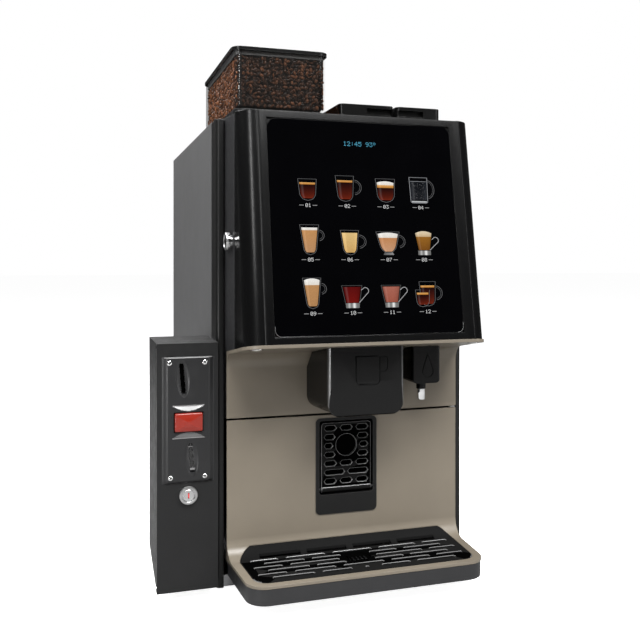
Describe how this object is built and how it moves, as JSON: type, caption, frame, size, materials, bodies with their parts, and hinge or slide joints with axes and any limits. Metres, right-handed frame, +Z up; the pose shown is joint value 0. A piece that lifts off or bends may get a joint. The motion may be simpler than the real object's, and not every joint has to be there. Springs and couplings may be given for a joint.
{
  "type": "hot coffee vending machine",
  "caption": "Table-top bean-to-cup coffee vending machine with a leaning glass touch front, clear bean hopper, folding cup stand, drip tray and side coin unit.",
  "frame": {"origin": "on the floor, at the middle of the bounding box in plan", "axes": "+Z up, the front with its outlets and tray faces -Y, +X to the right seen from the front (the coin unit is at -X)"},
  "size_m": [0.47, 0.6374, 0.781],
  "materials": {
    "cabinet_paint": "fine textured satin",
    "column_black": "satin",
    "chassis_steel": "zinc plated",
    "rubber_foot": "matte",
    "hinge_steel": "bright",
    "hopper_clear": "smoked clear",
    "black_plastic": "fine satin",
    "dark_plastic": "satin",
    "ivory_plastic": "satin",
    "canister_plastic": "milky",
    "motor_metal": "plain",
    "machined_steel": "machined",
    "boiler_steel": "brushed",
    "brass_fitting": "machined",
    "red_plastic": "glossy",
    "board_green": "solder mask",
    "pipe_white": "satin",
    "fascia_black": "satin",
    "touch_glass": "glossy black",
    "taupe_plastic": "fine satin",
    "chrome_trim": "polished",
    "coin_paint": "textured powder coat",
    "clear_flap": "clear"
  },
  "bodies": {
    "cabinet": {"feet": "rubber_foot", "base_pan": "chassis_steel", "left_side_panel": "cabinet_paint", "right_side_panel": "cabinet_paint", "rear_panel": "cabinet_paint", "top_cover": "cabinet_paint", "left_column": "column_black", "right_column": "column_black", "inner_chassis": "chassis_steel", "hinge_pins": "hinge_steel", "hopper_base": "black_plastic", "bean_hopper": "hopper_clear", "grinder": "dark_plastic", "brewer": "dark_plastic", "instant_canisters": "canister_plastic", "drive_motors": "motor_metal", "mixing_bowls": "dark_plastic", "boiler": "boiler_steel", "water_pump": "motor_metal", "inlet_valve": "brass_fitting", "power_inlet": "black_plastic", "power_supply": "motor_metal", "control_board": "board_green", "water_pipes": "pipe_white", "coin_box": "coin_paint", "cash_box": "chassis_steel", "coin_validator": "black_plastic"},
    "front_door": {"door_frame": "dark_plastic", "door_liner": "dark_plastic", "fascia_shell": "fascia_black", "touch_glass": "touch_glass", "display_module": "motor_metal", "upper_moulding": "taupe_plastic", "outlet_head": "fascia_black", "water_outlet": "fascia_black", "water_nozzle": "chrome_trim"},
    "door_lock": {"door_lock": "chrome_trim"},
    "front_drawer": {"lower_moulding": "taupe_plastic", "drip_tray": "black_plastic", "cup_stand_frame": "black_plastic", "drawer_chassis": "chassis_steel"},
    "cup_stand": {"cup_stand_grille": "black_plastic"},
    "drip_grille": {"drip_grille": "black_plastic"},
    "grounds_bin": {"grounds_bin": "dark_plastic"},
    "coin_door": {"coin_door": "coin_paint", "coin_plate": "coin_paint"},
    "coin_button": {"coin_button": "red_plastic"},
    "coin_return_flap": {"coin_return_flap": "clear_flap"},
    "coin_lock": {"coin_lock": "chrome_trim"},
    "hopper_lid": {"hopper_lid": "black_plastic"},
    "canister_lid_left": {"canister_lid_left": "black_plastic"},
    "canister_lid_right": {"canister_lid_right": "black_plastic"},
    "grinder_burr": {"grinder_burr": "machined_steel"},
    "brew_piston": {"brew_piston": "machined_steel"},
    "auger_left": {"auger_left": "ivory_plastic"},
    "auger_right": {"auger_right": "ivory_plastic"},
    "whipper_left": {"whipper_left": "ivory_plastic"},
    "whipper_right": {"whipper_right": "ivory_plastic"},
    "fan_impeller": {"fan_impeller": "black_plastic"},
    "power_switch": {"power_switch": "red_plastic"}
  },
  "joints": [
    {"name": "front_door_hinge", "type": "hinge", "parent": "cabinet", "child": "front_door", "pos_m": [0.2185, -0.19975, 0.46], "axis": [0, 0, 1], "range_deg": [0, 95]},
    {"name": "door_lock_turn", "type": "hinge", "parent": "front_door", "child": "door_lock", "pos_m": [-0.1325, -0.22025, 0.496], "axis": [1, 0, 0], "range_deg": [0, 90]},
    {"name": "front_drawer_slide", "type": "slide", "parent": "cabinet", "child": "front_drawer", "axis": [0, -1, 0], "range_m": [0, 0.2]},
    {"name": "cup_stand_hinge", "type": "hinge", "parent": "front_drawer", "child": "cup_stand", "pos_m": [0.0425, -0.20125, 0.132], "axis": [1, 0, 0], "range_deg": [0, 90]},
    {"name": "drip_grille_lift", "type": "slide", "parent": "front_drawer", "child": "drip_grille", "axis": [0, 0, 1], "range_m": [0, 0.03]},
    {"name": "grounds_bin_lift", "type": "slide", "parent": "front_drawer", "child": "grounds_bin", "axis": [0, 0, 1], "range_m": [0, 0.012]},
    {"name": "coin_door_hinge", "type": "hinge", "parent": "cabinet", "child": "coin_door", "pos_m": [-0.232, -0.20425, 0.184], "axis": [0, 0, -1], "range_deg": [0, 100]},
    {"name": "coin_button_press", "type": "slide", "parent": "coin_door", "child": "coin_button", "axis": [0, 1, 0], "range_m": [0, 0.004], "stiffness_N_per_m": 300, "springref_m": -0.002},
    {"name": "coin_return_flap_hinge", "type": "hinge", "parent": "coin_door", "child": "coin_return_flap", "pos_m": [-0.1885, -0.21765, 0.212], "axis": [-1, 0, 0], "range_deg": [0, 60]},
    {"name": "coin_lock_turn", "type": "hinge", "parent": "coin_door", "child": "coin_lock", "pos_m": [-0.1925, -0.20725, 0.146], "axis": [0, 1, 0], "range_deg": [0, 90]},
    {"name": "hopper_lid_hinge", "type": "hinge", "parent": "cabinet", "child": "hopper_lid", "pos_m": [-0.0515, 0.08525, 0.7705], "axis": [-1, 0, 0], "range_deg": [0, 95]},
    {"name": "canister_lid_left_hinge", "type": "hinge", "parent": "cabinet", "child": "canister_lid_left", "pos_m": [0.085, 0.03175, 0.678], "axis": [-1, 0, 0], "range_deg": [0, 95]},
    {"name": "canister_lid_right_hinge", "type": "hinge", "parent": "cabinet", "child": "canister_lid_right", "pos_m": [0.1705, 0.03175, 0.678], "axis": [-1, 0, 0], "range_deg": [0, 95]},
    {"name": "grinder_burr_spin", "type": "hinge", "parent": "cabinet", "child": "grinder_burr", "pos_m": [-0.0515, -0.07025, 0.6], "axis": [0, 0, 1], "continuous": true},
    {"name": "brew_piston_stroke", "type": "slide", "parent": "cabinet", "child": "brew_piston", "axis": [0, 0, 1], "range_m": [-0.04, 0.02]},
    {"name": "auger_left_spin", "type": "hinge", "parent": "cabinet", "child": "auger_left", "pos_m": [0.085, -0.05525, 0.514], "axis": [0, 1, 0], "continuous": true},
    {"name": "auger_right_spin", "type": "hinge", "parent": "cabinet", "child": "auger_right", "pos_m": [0.1705, -0.05525, 0.514], "axis": [0, 1, 0], "continuous": true},
    {"name": "whipper_left_spin", "type": "hinge", "parent": "cabinet", "child": "whipper_left", "pos_m": [0.085, -0.05525, 0.4], "axis": [0, 1, 0], "continuous": true},
    {"name": "whipper_right_spin", "type": "hinge", "parent": "cabinet", "child": "whipper_right", "pos_m": [0.1705, -0.05525, 0.4], "axis": [0, 1, 0], "continuous": true},
    {"name": "fan_spin", "type": "hinge", "parent": "cabinet", "child": "fan_impeller", "pos_m": [0.0425, 0.28475, 0.6], "axis": [0, 1, 0], "continuous": true},
    {"name": "power_switch_rock", "type": "hinge", "parent": "cabinet", "child": "power_switch", "pos_m": [0.1925, 0.30275, 0.11], "axis": [1, 0, 0], "range_deg": [0, 15]}
  ]
}
